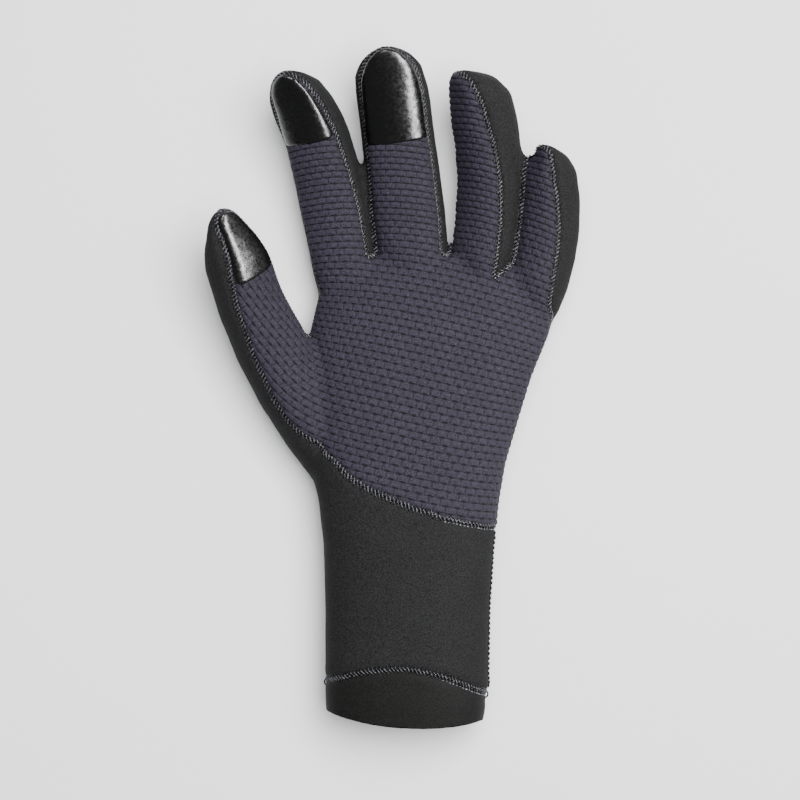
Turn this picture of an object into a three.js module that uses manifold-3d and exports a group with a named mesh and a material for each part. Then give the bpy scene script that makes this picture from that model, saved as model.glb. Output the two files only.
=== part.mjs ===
// Left-hand diving glove in padded neoprene, lying on its back with the palm up.
// A knit-faced palm panel is sewn into a plain back panel, which wraps round the
// sides of the fingers and closes as the wrist. A shaped band finishes the cuff,
// and the thumb, index and middle fingertips carry thin glossy patches.
// Millimetres. +X points to the little finger, +Y to the fingertips and +Z out of the palm.
import * as THREE from 'three';
import Module from 'manifold-3d';
import { mergeVertices } from 'three/addons/utils/BufferGeometryUtils.js';

const wasm = await Module();
wasm.setup();

// Neoprene and seams
const wallThickness = 5;
const seamGap = 0.4;
const backFlat = 1.2; // how far the soft back is pressed flat on what it lies on
const patchThickness = 0.8;
const patchSeat = 0.3; // clearance between a patch and the panel under it

// Cuff, from the hem to the wrist
const cuffWidth = 70;
const cuffDepth = 46;
const cuffLength = 76.5;
const bandMiddle = 18; // height of the band over the middle of the wrist
const bandThumbSide = 11;
const bandLittleSide = 4;
const hemBow = 6; // how far the hem bows out between its two sides
const hemDrop = 4; // how much further down the hem is on the little finger side

// Palm, from the wrist to the roots of the fingers
const palmWidth = 111;
const palmDepth = 42;
const palmLength = 112;
const palmHollow = 2; // dip in the middle of the palm
const sideSeamHeight = 19; // height of the seam along both sides of the hand

// Sizes of the fingers; a patch is measured back from the fingertip
const thumbSize = { length: 122, width: 32, depth: 29, patch: 27 };
const indexSize = { length: 105, width: 29, depth: 27, patch: 32 };
const middleSize = { length: 111, width: 32, depth: 28, patch: 41 };
const ringSize = { length: 103, width: 29, depth: 28 };
const littleSize = { length: 77, width: 27, depth: 26 };

// Where each finger starts, as shares of the palm's width, length and depth, and how it lies.
// Splay leans it to the little finger, pitch lifts it, roll turns its palm side to the thumb,
// twist is the further roll up to its tip, and curl bends it towards its palm side. Degrees.
// Taper is the share of its width left at the tip, and close how far its tip closes towards
// the palm side, as a share of its depth.
const fingers = [
  {
    name: 'thumb', size: thumbSize, across: -0.252, along: 0.22, height: 0.45,
    splay: -31, pitch: 6, roll: -17, twist: -22, curl: 26, taper: 0.76, close: 0.05,
  },
  {
    name: 'index', size: indexSize, across: -0.225, along: 0.86, height: 0.42,
    splay: -9.5, pitch: 3, roll: 10, twist: 18, curl: 33, taper: 0.88, close: 0.23,
  },
  {
    name: 'middle', size: middleSize, across: 0.035, along: 0.86, height: 0.42,
    splay: -6.5, pitch: 3, roll: 10, twist: -8, curl: 24, taper: 0.92, close: 0.23,
  },
  {
    name: 'ring', size: ringSize, across: 0.272, along: 0.86, height: 0.44,
    splay: 8, pitch: 6, roll: 40, twist: 20, curl: 36, taper: 0.95, close: 0.23,
  },
  {
    name: 'little', size: littleSize, across: 0.468, along: 0.82, height: 0.46,
    splay: 12.5, pitch: 8, roll: 30, twist: 26, curl: 27, taper: 0.76, close: 0.16,
  },
];
const bendFrom = 0.3; // share of a finger's length where its curl starts
const bendTo = 0.9;
const seamShare = 0.5; // height of a finger's seams, as a share of half its depth
const tipShare = 0.62; // length of a fingertip that rounds off, as a share of its width
const taperFrom = 0.35; // share of a finger's length where its taper starts

// Sections of the cuff and palm, as shares of that part's length, width and depth
const cuffSections = [
  { along: -0.12, left: -0.49, right: 0.425, bottom: 0, top: 0.96 },
  { along: 0, left: -0.495, right: 0.46, bottom: 0, top: 0.98 },
  { along: 0.12, left: -0.505, right: 0.485, bottom: 0, top: 1 },
  { along: 0.55, left: -0.505, right: 0.495, bottom: 0, top: 1 },
  { along: 0.9, left: -0.515, right: 0.52, bottom: 0, top: 1 },
];
const palmSections = [
  { along: 0.1, left: -0.345, right: 0.345, bottom: 0, top: 1.07, hollow: 0 },
  { along: 0.24, left: -0.38, right: 0.37, bottom: 0, top: 1.03, hollow: 0.3 },
  { along: 0.4, left: -0.4, right: 0.418, bottom: 0, top: 1, hollow: 0.8 },
  { along: 0.56, left: -0.4, right: 0.468, bottom: 0, top: 0.98, hollow: 1 },
  { along: 0.72, left: -0.382, right: 0.535, bottom: 0, top: 0.93, hollow: 1 },
  { along: 0.86, left: -0.35, right: 0.58, bottom: 0.02, top: 0.85, hollow: 0.6 },
  { along: 0.96, left: -0.33, right: 0.605, bottom: 0.08, top: 0.76, hollow: 0.2 },
  { along: 1.02, left: -0.31, right: 0.585, bottom: 0.16, top: 0.68, hollow: 0 },
];

// Sections of a finger: its shaft as shares of the length before the tip, and its tip as
// shares of its width back from the end. Rise is how much of the tip's closing is done.
const shaftSections = [
  { along: 0, width: 0.84, thickness: 0.74, rise: 0 },
  { along: 0.2, width: 0.96, thickness: 1, rise: 0 },
  { along: 0.4, width: 1, thickness: 1, rise: 0 },
  { along: 0.6, width: 1, thickness: 1, rise: 0 },
  { along: 0.8, width: 1, thickness: 1, rise: 0 },
];
const tipSections = [
  { fromTip: 0.62, width: 0.99, thickness: 0.96, rise: 0.05 },
  { fromTip: 0.36, width: 0.93, thickness: 0.76, rise: 0.3 },
  { fromTip: 0.17, width: 0.72, thickness: 0.48, rise: 0.65 },
  { fromTip: 0.06, width: 0.44, thickness: 0.25, rise: 0.9 },
  { fromTip: 0, width: 0.12, thickness: 0.1, rise: 1 },
];
// Plan of the palm panel's free edge, from below the thumb across to the little finger side,
// as shares of the palm's width and length
const palmEdge = [
  [-0.62, 0.75],
  [-0.6, 0.58],
  [-0.505, 0.41],
  [-0.43, 0.325],
  [-0.34, 0.24],
  [-0.24, 0.185],
  [-0.13, 0.14],
  [0, 0.085],
  [0.12, 0.045],
  [0.25, 0.015],
  [0.345, 0],
  [0.5, -0.02],
];

const bodySides = 32;
const fingerSides = 16;
const roundness = 2.3; // exponent of a section's superellipse
const curveSteps = 60; // steps in which a finger's curl and twist are followed
const hollowFloor = 1; // a hollow's sections end where they are thinner than this

// One closed ring of points, a superellipse in the plane of side and up
function ring(centre, side, up, halfWidth, halfDepth, sides, dip = 0) {
  const points = [];
  for (let i = 0; i < sides; i++) {
    const angle = (i / sides) * 2 * Math.PI;
    const c = Math.cos(angle);
    const s = Math.sin(angle);
    const x = Math.sign(c) * Math.abs(c) ** (2 / roundness);
    const z = Math.sign(s) * Math.abs(s) ** (2 / roundness);
    const dent = s > 0 ? dip * (1 - x * x) ** 2 : 0;
    points.push(
      centre.clone().addScaledVector(side, x * halfWidth).addScaledVector(up, z * halfDepth - dent)
    );
  }
  return points;
}

// A closed solid through rings of equal length, with a fan over each end
function loft(rings) {
  const sides = rings[0].length;
  const ends = [rings[0], rings[rings.length - 1]].map((points) =>
    points.reduce((sum, p) => sum.add(p), new THREE.Vector3()).divideScalar(sides)
  );
  const points = [...rings.flat(), ...ends];
  const index = [];
  const last = (rings.length - 1) * sides;
  for (let k = 0; k < sides; k++) {
    const next = (k + 1) % sides;
    for (let r = 0; r < last; r += sides) {
      index.push(r + k, r + sides + k, r + next, r + next, r + sides + k, r + sides + next);
    }
    index.push(points.length - 2, k, next, points.length - 1, last + next, last + k);
  }
  const geometry = new THREE.BufferGeometry().setFromPoints(points);
  geometry.setIndex(index);
  return geometry;
}

function solid(geometry) {
  const bare = geometry.clone();
  bare.deleteAttribute('normal');
  bare.deleteAttribute('uv');
  const merged = mergeVertices(bare);
  const vertProperties = new Float32Array(merged.attributes.position.array);
  const triVerts = new Uint32Array(merged.index.array);
  const made = new wasm.Manifold(new wasm.Mesh({ numProp: 3, vertProperties, triVerts }));
  if (made.volume() > 0) return made;
  return new wasm.Manifold(
    new wasm.Mesh({ numProp: 3, vertProperties, triVerts: triVerts.reverse() })
  );
}

function join(solids) {
  return solids.reduce((all, one) => all.add(one));
}

function slab(width, length, bottom, top, y = 0) {
  const geometry = new THREE.BoxGeometry(width, length, top - bottom);
  geometry.translate(0, y, (top + bottom) / 2);
  return solid(geometry);
}

// A plan outline raised from one height to another
function raised(points, bottom, top) {
  const shape = new THREE.Shape(points.map(([x, y]) => new THREE.Vector2(x, y)));
  const geometry = new THREE.ExtrudeGeometry(shape, { depth: top - bottom, bevelEnabled: false });
  geometry.translate(0, 0, bottom);
  return solid(geometry);
}

const sideways = new THREE.Vector3(1, 0, 0);
const upright = new THREE.Vector3(0, 0, 1);
const farOut = 2 * palmWidth;
const farUp = 3 * palmDepth;

// The cuff and palm as one tube, inset for the hollow, with room past the hem
function body(inset) {
  const cuffRows = cuffSections.map((row) => ({
    ...row, y: -cuffLength * (1 - row.along), width: cuffWidth, depth: cuffDepth,
  }));
  const palmRows = palmSections.map((row) => ({
    ...row, y: palmLength * row.along, width: palmWidth, depth: palmDepth,
  }));
  const rows = [...cuffRows, ...palmRows];
  const hem = { ...rows[0], y: rows[0].y - hemBow - hemDrop - wallThickness };
  const rings = [hem, ...rows].map((row, i, all) => {
    const isEnd = i === all.length - 1;
    const y = row.y - (isEnd ? inset : 0);
    const bottom = row.bottom * row.depth - backFlat;
    const top = row.top * row.depth - backFlat;
    const centre = new THREE.Vector3(((row.left + row.right) / 2) * row.width, y, (top + bottom) / 2);
    const halfWidth = ((row.right - row.left) / 2) * row.width - inset;
    return ring(
      centre, sideways, upright, halfWidth, (top - bottom) / 2 - inset, bodySides, (row.hollow ?? 0) * palmHollow
    );
  });
  return solid(loft(rings));
}

// The frames along a finger: its middle, its tangent, its side and its palm side
function fingerFrames(finger, stations) {
  const rad = THREE.MathUtils.degToRad;
  const { length } = finger.size;
  const point = new THREE.Vector3(
    finger.across * palmWidth, finger.along * palmLength, finger.height * palmDepth - backFlat
  );
  const tangent = new THREE.Vector3(
    Math.sin(rad(finger.splay)) * Math.cos(rad(finger.pitch)),
    Math.cos(rad(finger.splay)) * Math.cos(rad(finger.pitch)),
    Math.sin(rad(finger.pitch))
  );
  const side = new THREE.Vector3(Math.cos(rad(finger.splay)), -Math.sin(rad(finger.splay)), 0);
  const palmar = new THREE.Vector3().crossVectors(side, tangent);
  const turn = (a, b, angle) => {
    const kept = a.clone();
    a.multiplyScalar(Math.cos(angle)).addScaledVector(b, Math.sin(angle));
    b.multiplyScalar(Math.cos(angle)).addScaledVector(kept, -Math.sin(angle));
  };
  turn(side, palmar, rad(finger.roll));
  const step = length / curveSteps;
  const path = [];
  for (let i = 0; i <= curveSteps * 1.5; i++) {
    path.push({ point: point.clone(), tangent: tangent.clone(), side: side.clone(), palmar: palmar.clone() });
    const share = (i + 0.5) / curveSteps;
    const bends = share > bendFrom && share < bendTo;
    if (bends) turn(tangent, palmar, rad(finger.curl) / (curveSteps * (bendTo - bendFrom)));
    if (share < 1) turn(side, palmar, rad(finger.twist) / curveSteps);
    point.addScaledVector(tangent, step);
  }
  return stations.map((s) => path[Math.max(0, Math.min(path.length - 1, Math.round(s / step)))]);
}

function fingerSections({ size, taper, close }) {
  const { length, width, depth } = size;
  const tipLength = tipShare * width;
  const rows = [
    ...shaftSections.map((row) => ({ ...row, at: row.along * (length - tipLength) })),
    ...tipSections.map((row) => ({ ...row, at: length - row.fromTip * width })),
  ];
  return rows.map((row) => {
    const kept = THREE.MathUtils.lerp(1, taper, THREE.MathUtils.smoothstep(row.at / length, taperFrom, 1));
    return {
      at: row.at,
      halfWidth: (row.width * kept * width) / 2,
      halfDepth: (row.thickness * kept * depth) / 2,
      middle: row.rise * close * depth,
      shrink: 1 - row.width,
      seam: THREE.MathUtils.lerp(seamShare / 2, close, row.rise) * depth,
    };
  });
}

// A finger as a closed tube, inset for its hollow
function fingerTube(finger, inset) {
  const rows = fingerSections(finger);
  const frames = fingerFrames(finger, rows.map((row) => row.at));
  const rings = [];
  rows.forEach((row, i) => {
    const { point, tangent, side, palmar } = frames[i];
    const halfWidth = row.halfWidth - inset;
    const halfDepth = row.halfDepth - inset;
    if (Math.min(halfWidth, halfDepth) < hollowFloor && inset > 0) return;
    const centre = point.clone().addScaledVector(palmar, row.middle);
    if (i >= shaftSections.length) centre.addScaledVector(tangent, -inset * row.shrink);
    rings.push(ring(centre, side, palmar, halfWidth, halfDepth, fingerSides));
  });
  return solid(loft(rings));
}

// The space on a finger's palm side above its seams, from a station to past its tip
function fingerFront(finger, grow, from = 0) {
  const { length, width, depth } = finger.size;
  const rows = fingerSections(finger).filter((row) => row.at > from);
  const last = rows[rows.length - 1];
  const stations = [{ ...last, at: from, seam: rows[0].seam }, ...rows, { ...last, at: length + width }];
  const frames = fingerFrames(finger, stations.map((row) => row.at));
  const reach = width / 2 + grow;
  const rings = stations.map((row, i) => {
    const { point, side, palmar } = frames[i];
    const low = row.seam - grow;
    return [[-1, low], [1, low], [1, low + depth], [-1, low + depth]].map(([sign, height]) =>
      point.clone().addScaledVector(side, sign * reach).addScaledVector(palmar, height)
    );
  });
  return solid(loft(rings));
}

// The part of the glove's volume that belongs to the palm panel
function palmSide(grow) {
  const edge = palmEdge.map(([x, y]) => [x * palmWidth - grow, y * palmLength - grow]);
  const outline = [...edge, [farOut, -grow], [farOut, farOut], [edge[0][0], farOut]];
  const front = raised(outline, sideSeamHeight - grow, farUp);
  return join([
    body(-grow).intersect(front),
    ...fingers.map((finger) => fingerTube(finger, -grow).intersect(fingerFront(finger, grow))),
  ]);
}

// Plan of the seam between the cuff and its band, bowed up over the middle
function bandPlan(lift) {
  const steps = 12;
  const hemLevel = -cuffLength;
  const seam = [];
  for (let i = 0; i <= steps; i++) {
    const share = i / steps;
    const level = THREE.MathUtils.lerp(bandThumbSide, bandLittleSide, share);
    const bow = (bandMiddle - (bandThumbSide + bandLittleSide) / 2) * Math.sin(Math.PI * share);
    seam.push([(share - 0.5) * cuffWidth * 1.1, hemLevel + level + bow + lift]);
  }
  return [[-farOut, seam[0][1]], ...seam, [farOut, seam[steps][1]], [farOut, -farOut * 2], [-farOut, -farOut * 2]];
}

// Plan of everything above the hem, which bows out between its two sides
function aboveHem() {
  const steps = 12;
  const hem = [];
  for (let i = 0; i <= steps; i++) {
    const share = i / steps;
    const bow = hemBow * Math.sin(Math.PI * share);
    hem.push([(share - 0.5) * cuffWidth * 1.1, -cuffLength - hemDrop * share - bow]);
  }
  const [first, last] = [hem[0][1], hem[steps][1]];
  return [[-farOut, first], ...hem, [farOut, last], [farOut, farOut * 2], [-farOut, farOut * 2]];
}

const lowest = -palmDepth;
const onSurface = slab(farOut * 4, farOut * 4, 0, farUp);
const aboveFloorWall = slab(farOut * 4, farOut * 4, wallThickness, farUp);
const outer = join([body(0), ...fingers.map((finger) => fingerTube(finger, 0))])
  .intersect(onSurface)
  .intersect(raised(aboveHem(), lowest, farUp));
const hollow = join([body(wallThickness), ...fingers.map((finger) => fingerTube(finger, wallThickness))])
  .intersect(aboveFloorWall);
const shell = outer.subtract(hollow);

const palmPanel = shell.intersect(palmSide(0));
const backAndBand = shell.subtract(palmSide(seamGap));
const cuffBand = backAndBand.intersect(raised(bandPlan(-seamGap), lowest, farUp));
const backPanel = backAndBand.subtract(raised(bandPlan(0), lowest, farUp));

function tipPatch(finger) {
  const from = finger.size.length - finger.size.patch;
  return fingerTube(finger, -patchSeat - patchThickness)
    .subtract(fingerTube(finger, -patchSeat))
    .intersect(fingerFront(finger, -seamGap * 2, from));
}

// A cut can leave a sliver beside the piece
function largest(made) {
  return made.decompose().sort((a, b) => b.volume() - a.volume())[0];
}

function toGeometry(made) {
  const mesh = made.getMesh();
  const geometry = new THREE.BufferGeometry();
  geometry.setAttribute('position', new THREE.BufferAttribute(Float32Array.from(mesh.vertProperties), 3));
  geometry.setIndex(new THREE.BufferAttribute(Uint32Array.from(mesh.triVerts), 1));
  geometry.computeVertexNormals();
  return geometry;
}

const knit = new THREE.MeshStandardMaterial({ color: 0x4e4b5a, roughness: 0.9, metalness: 0 });
const jersey = new THREE.MeshStandardMaterial({ color: 0x2b2b2d, roughness: 0.85, metalness: 0 });
const gloss = new THREE.MeshStandardMaterial({ color: 0x121214, roughness: 0.2, metalness: 0 });

const pieces = [
  ['palm_panel', palmPanel, knit],
  ['back_panel', backPanel, jersey],
  ['cuff_band', cuffBand, jersey],
  ...fingers
    .filter((finger) => finger.size.patch)
    .map((finger) => [`${finger.name}_tip_patch`, tipPatch(finger), gloss]),
];

const glove = new THREE.Group();
for (const [name, made, material] of pieces) {
  const mesh = new THREE.Mesh(toGeometry(largest(made)), material);
  mesh.name = name;
  glove.add(mesh);
}

// The origin is under the middle of the glove, on the surface that it lies on
const extent = new THREE.Box3().setFromObject(glove);
const middle = extent.getCenter(new THREE.Vector3());
glove.position.set(-middle.x, -middle.y, -extent.min.z);

const part = new THREE.Group();
part.add(glove);
export default part;
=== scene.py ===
# Diving glove in padded neoprene: knit-faced palm, plain back and wrist, overlocked seams
import math

import bmesh
import bpy
import numpy as np
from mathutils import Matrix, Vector
from mathutils.bvhtree import BVHTree
from mathutils.kdtree import KDTree


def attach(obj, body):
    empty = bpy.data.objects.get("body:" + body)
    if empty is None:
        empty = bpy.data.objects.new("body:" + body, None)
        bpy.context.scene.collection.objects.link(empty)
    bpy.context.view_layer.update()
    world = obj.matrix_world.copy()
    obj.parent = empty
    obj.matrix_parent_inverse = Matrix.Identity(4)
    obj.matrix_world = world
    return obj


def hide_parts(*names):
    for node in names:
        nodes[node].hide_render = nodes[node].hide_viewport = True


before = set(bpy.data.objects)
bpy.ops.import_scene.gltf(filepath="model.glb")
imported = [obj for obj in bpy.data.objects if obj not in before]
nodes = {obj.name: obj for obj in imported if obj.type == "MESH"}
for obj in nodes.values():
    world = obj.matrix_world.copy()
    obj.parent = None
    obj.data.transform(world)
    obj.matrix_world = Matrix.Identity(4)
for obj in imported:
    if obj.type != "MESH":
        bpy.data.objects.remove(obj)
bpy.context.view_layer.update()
mm = 0.001
print("Frame loaded")

# The soft surface that all the panels are cut from
skin = {
    "voxel": 1.15 * mm,  # grain at which the panels are melted together
    "swell": 0.25 * mm,  # closes the gaps between them first
    "plugReach": 6 * mm,  # how far the filled cuff runs past the hem before it is trimmed
    "smoothPasses": 120,
    "wall": 5.0 * mm,  # neoprene with its two faces
    "seamDip": 1.1 * mm,  # how deep the thread pulls the foam in
    "seamDipReach": 1.5 * mm,
    "puff": 0.12 * mm,  # the foam's swell beside a seam
    "puffAt": 4.5 * mm,
    "puffReach": 2 * mm,
    "smoothPair": (0.6, -0.615),  # the two steps of a smoothing pass, in and back out
    "seamPair": (0.6, -0.62),
}
panelIds = {"palm": 0, "back": 1, "band": 2}


def nodeArrays(name):
    mesh = nodes[name].data
    mesh.calc_loop_triangles()
    points = np.empty(len(mesh.vertices) * 3, np.float32)
    faces = np.empty(len(mesh.loop_triangles) * 3, np.int32)
    mesh.vertices.foreach_get("co", points)
    mesh.loop_triangles.foreach_get("vertices", faces)
    points = points.reshape(-1, 3).astype(float)
    whole, place = np.unique(np.round(points / (0.001 * mm)), axis=0, return_inverse=True)
    return whole * 0.001 * mm, place.ravel()[faces].reshape(-1, 3)  # welded at a micrometre


def faceNormals(points, faces):
    a, b, c = (points[faces[:, i], :3] for i in range(3))
    return np.cross(b - a, c - a)


def unit(vectors):
    return vectors / np.maximum(np.linalg.norm(vectors, axis=-1, keepdims=True), 1e-12)


def rise(values, edge):
    # From 0 to 1, from the edge's place on and over its width
    return np.clip((values - edge[0]) / edge[1], 0, 1)


def fall(values, edge):
    # The same the other way, towards lower values
    return np.clip((edge[0] - values) / edge[1], 0, 1)


def gathered(index, values, count):
    return np.column_stack([np.bincount(index, column, count) for column in values.T])


def vertexNormals(points, faces):
    normals = faceNormals(points, faces)
    return unit(sum(gathered(faces[:, i], normals, len(points)) for i in range(3)))


def meshFrom(name, points, faces):
    mesh = bpy.data.meshes.new(name)
    mesh.from_pydata(points[:, :3].tolist(), [], faces.tolist())
    return mesh


def newObject(name, data):
    obj = bpy.data.objects.new(name, data)
    bpy.context.scene.collection.objects.link(obj)
    return obj


def shapedBy(obj, kind, sides, **settings):
    # Runs one modifier on a draft and gives back its points and faces, of so many sides
    modifier = obj.modifiers.new(kind, kind)
    for key, value in settings.items():
        setattr(modifier, key, value)
    made = obj.evaluated_get(bpy.context.evaluated_depsgraph_get()).to_mesh()
    newPoints = np.empty(len(made.vertices) * 3, np.float32)
    corners = np.empty(len(made.loops), np.int32)
    made.vertices.foreach_get("co", newPoints)
    made.loops.foreach_get("vertex_index", corners)
    bpy.data.objects.remove(obj)
    return newPoints.reshape(-1, 3).astype(float), corners.reshape(-1, sides)


def cuffPlug():
    # The filled mouth of the cuff, so that melting leaves one outer surface
    draft = bmesh.new()
    draft.from_mesh(nodes["cuff_band"].data)
    bmesh.ops.remove_doubles(draft, verts=draft.verts, dist=0.001 * mm)
    hull = bmesh.ops.convex_hull(draft, input=draft.verts)["geom"]
    corners = [[tuple(v.co) for v in f.verts] for f in hull if isinstance(f, bmesh.types.BMFace)]
    draft.free()
    points, place = np.unique(np.array(corners).reshape(-1, 3), axis=0, return_inverse=True)
    return points, place.reshape(-1, 3)


def islands(faces, count):
    # Gives each point the lowest number that it is joined to
    ids = np.arange(count)
    while True:
        low = ids[faces].min(1)
        after = ids.copy()
        for i in range(faces.shape[1]):
            np.minimum.at(after, faces[:, i], low)
        after = after[after]
        if (after == ids).all():
            return ids
        ids = after


def largestIsland(points, faces):
    ids = islands(faces, len(points))
    kept = faces[ids[faces[:, 0]] == np.bincount(ids[faces[:, 0]]).argmax()]
    used, place = np.unique(kept, return_inverse=True)
    return points[used], place.reshape(-1, 4)


def relaxed(points, faces, passes):
    # Two-step smoothing: the facets go, the fingers keep their girth
    edges = np.column_stack([faces.ravel(), np.roll(faces, -1, 1).ravel()])
    edges = np.unique(np.sort(edges, axis=1), axis=0)
    count = np.bincount(edges.ravel(), minlength=len(points))[:, None]
    for step in range(passes * 2):
        total = gathered(edges[:, 0], points[edges[:, 1]], len(points))
        total += gathered(edges[:, 1], points[edges[:, 0]], len(points))
        weight = skin["smoothPair"][step % 2]
        points = points + weight * (total / count - points)
    return points


def triangles(points, quads):
    a, b, c, d = (points[quads[:, i], :3] for i in range(4))
    shortFirst = np.linalg.norm(a - c, axis=1) < np.linalg.norm(b - d, axis=1)
    first = np.where(shortFirst[:, None], quads[:, [0, 1, 2]], quads[:, [0, 1, 3]])
    second = np.where(shortFirst[:, None], quads[:, [0, 2, 3]], quads[:, [1, 2, 3]])
    return np.concatenate([first, second])


def sidesOf(faces):
    return np.sort(np.concatenate([faces[:, [0, 1]], faces[:, [1, 2]], faces[:, [2, 0]]]), axis=1)


def splitFaces(points, faces, wanted, share):
    # Puts a point on each wanted side of a face and splits the faces to match
    sides = sidesOf(faces)
    ends, place = np.unique(sides[wanted], axis=0, return_inverse=True)
    along = share(ends)[:, None]
    made = points[ends[:, 0]] * (1 - along) + points[ends[:, 1]] * along
    marks = np.full(len(sides), -1)
    marks[wanted] = len(points) + place.ravel()
    marks = marks.reshape(3, -1).T
    count = (marks >= 0).sum(1)
    origin = [np.flatnonzero(count == 0)]
    parts = [faces[count == 0]]
    for howMany in (1, 2, 3):
        chosen = np.flatnonzero(count == howMany)
        if not len(chosen):
            continue
        some, mark = faces[chosen], marks[chosen]
        turn = np.argmax(mark >= 0, 1) if howMany == 1 else np.argmin(mark, 1)
        order = (np.arange(3)[None] + turn[:, None] + 2) % 3  # the odd side becomes the middle one
        a, b, c = np.take_along_axis(some, order, 1).T
        p, q, r = np.take_along_axis(mark, order, 1).T
        cuts = {
            1: ((a, b, q), (a, q, c)),
            2: ((a, p, r), (p, b, c), (p, c, r)),
            3: ((a, p, r), (p, b, q), (r, q, c), (p, q, r)),
        }[howMany]
        parts += [np.column_stack(cut) for cut in cuts]
        origin += [chosen] * len(cuts)
    return np.concatenate([points, made]), np.concatenate(parts), np.concatenate(origin)


def splitAlong(points, faces, column, snap=0.1 * mm):
    # Splits the faces where a column passes zero, and tells which faces lie above
    points = points.copy()
    field = points[:, column]
    field[abs(field) < snap] = 0.0
    sides = sidesOf(faces)
    wanted = field[sides[:, 0]] * field[sides[:, 1]] < 0

    def share(ends):
        return field[ends[:, 0]] / (field[ends[:, 0]] - field[ends[:, 1]])

    points, faces, origin = splitFaces(points, faces, wanted, share)
    points[abs(points[:, column]) < 1e-9, column] = 0.0
    return points, faces, origin, points[faces, column].sum(1) >= 0


def onlyUsed(points, faces):
    used, place = np.unique(faces, return_inverse=True)
    return points[used], place.reshape(-1, 3), used


def halfway(ends):
    return np.full(len(ends), 0.5)


def refined(points, faces):
    return splitFaces(points, faces, np.ones(faces.size, bool), halfway)[:2]


def rimSides(faces):
    # The sides that only one face has, in the direction that face runs them
    sides = np.concatenate([faces[:, [0, 1]], faces[:, [1, 2]], faces[:, [2, 0]]])
    ordered = np.sort(sides, axis=1)
    key = ordered[:, 0].astype(np.int64) * (faces.max() + 1) + ordered[:, 1]
    _, place, count = np.unique(key, return_inverse=True, return_counts=True)
    return sides[count[place.ravel()] == 1]


def loopsOf(sides):
    # Chains directed sides into closed loops, the longest first
    follow = {int(a): int(b) for a, b in sides}
    loops = []
    while follow:
        start = next(iter(follow))
        loop = [start]
        here = follow.pop(start)
        while here != start and here in follow:
            loop.append(here)
            here = follow.pop(here)
        loops.append(loop)
    return sorted(loops, key=len, reverse=True)


def distancesTo(names, points):
    trees = []
    for name in names:
        cadPoints, cadFaces = nodeArrays(name)
        trees.append(BVHTree.FromPolygons(cadPoints.tolist(), cadFaces.tolist()))
    return np.array([min(tree.find_nearest(p)[3] for tree in trees) for p in points[:, :3].tolist()])


def nearestIn(cloud, points):
    tree = KDTree(len(cloud))
    for i, p in enumerate(cloud[:, :3].tolist()):
        tree.insert(p, i)
    tree.balance()
    found = [tree.find(p) for p in points[:, :3].tolist()]
    return np.array([f[1] for f in found]), np.array([f[2] for f in found])


def averaged(values, faces, passes):
    edges = np.column_stack([faces.ravel(), np.roll(faces, -1, 1).ravel()])
    flat = values.reshape(len(values), -1)
    count = np.maximum(np.bincount(edges[:, 0], minlength=len(values)), 1)[:, None]
    for _ in range(passes):
        flat = (flat + gathered(edges[:, 0], flat[edges[:, 1]], len(flat)) / count) / 2
    return flat.reshape(values.shape)


def hemLine():
    # The hem's plan, read off the band's end faces, which look away from the fingers
    points, faces = nodeArrays("cuff_band")
    lower = unit(faceNormals(points, faces))[:, 1] < -0.7
    rim = points[np.unique(faces[lower])]
    rim = rim[np.argsort(rim[:, 0])]
    return rim[:, 0], rim[:, 1]


columns = {"normal": slice(3, 6), "palm": 6, "band": 7, "hem": 8}

# Places where the palm's seam lies further in than on the solids: where, how far round, by
# how much, in mm
seamShifts = {
    "heel": ((-33, -29), 14, 3.2),
    "thumb": ((-72, 55), 10, 0.8),
    "index": ((-51, 114), 10, 1.6),
}

# Places where the outline is drawn out or in after smoothing: the same, in mm
outlinePushes = {
    "thumb_tip": ((-72, 73), 10, (0.0, 3.5)),
    "thumb_nail": ((-78, 71), 7, (-1.4, 0.6)),
    "thumb_flank": ((-52, 58), 12, (2.0, 0.8)),
    "index_tip": ((-44, 136), 10, (-1.0, 1.5)),
    "index_thumb_side": ((-50, 117), 10, (-1.3, 0.0)),
    "index_far_side": ((-26, 127), 8, (-1.4, -0.9)),
    "middle_tip": ((-3, 146), 10, (-0.4, 0.8)),
    "ring_tip": ((38, 133), 10, (0.8, 1.0)),
    "ring_near_side": ((24, 126), 11, (1.8, 0.0)),
    "little_tip": ((62, 106), 9, (0.8, -2.2)),
    "little_near_side": ((59, 99), 6, (1.6, -1.4)),
    "ring_far_side": ((54, 104), 8, (-1.5, 0.0)),
    "hem_corner": ((37, -138), 7, (-0.6, 0.0)),
}
gapEasings = {"ring_little": ((57, 99), 7, 1.1)}  # both walls of a gap drawn back by this
hemLift = ((8, -140), 26, 1.3)  # where the front of the hem is cut higher
# The little finger's root, where the palm's seam is eased to sweep past it
rootEase = {"across": (58 * mm, 8 * mm), "middle": 32 * mm, "reach": 34 * mm, "passes": 90}


def nearPlace(points, at, reach):
    apart = np.hypot(points[:, 0] - at[0] * mm, points[:, 1] - at[1] * mm)
    return np.exp(-((apart / (reach * mm)) ** 2))


def meltedPanels():
    # One smooth outer surface over all the panels
    parts = [nodeArrays(name) for name in ("palm_panel", "back_panel", "cuff_band")]
    plugPoints, plugFaces = cuffPlug()
    parts.append((plugPoints, plugFaces))
    parts.append((plugPoints - [0, skin["plugReach"], 0], plugFaces))
    points, faces, offset = [], [], 0
    for partPoints, partFaces in parts:
        points.append(partPoints + vertexNormals(partPoints, partFaces) * skin["swell"])
        faces.append(partFaces + offset)
        offset += len(partPoints)
    draft = newObject("draft", meshFrom("draft", np.concatenate(points), np.concatenate(faces)))
    points, quads = shapedBy(draft, "REMESH", 4, mode="VOXEL", voxel_size=skin["voxel"])
    points, quads = largestIsland(points, quads)
    points = relaxed(points, quads, skin["smoothPasses"])
    faces = triangles(points, quads)
    return points - vertexNormals(points, faces) * skin["swell"], faces


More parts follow.
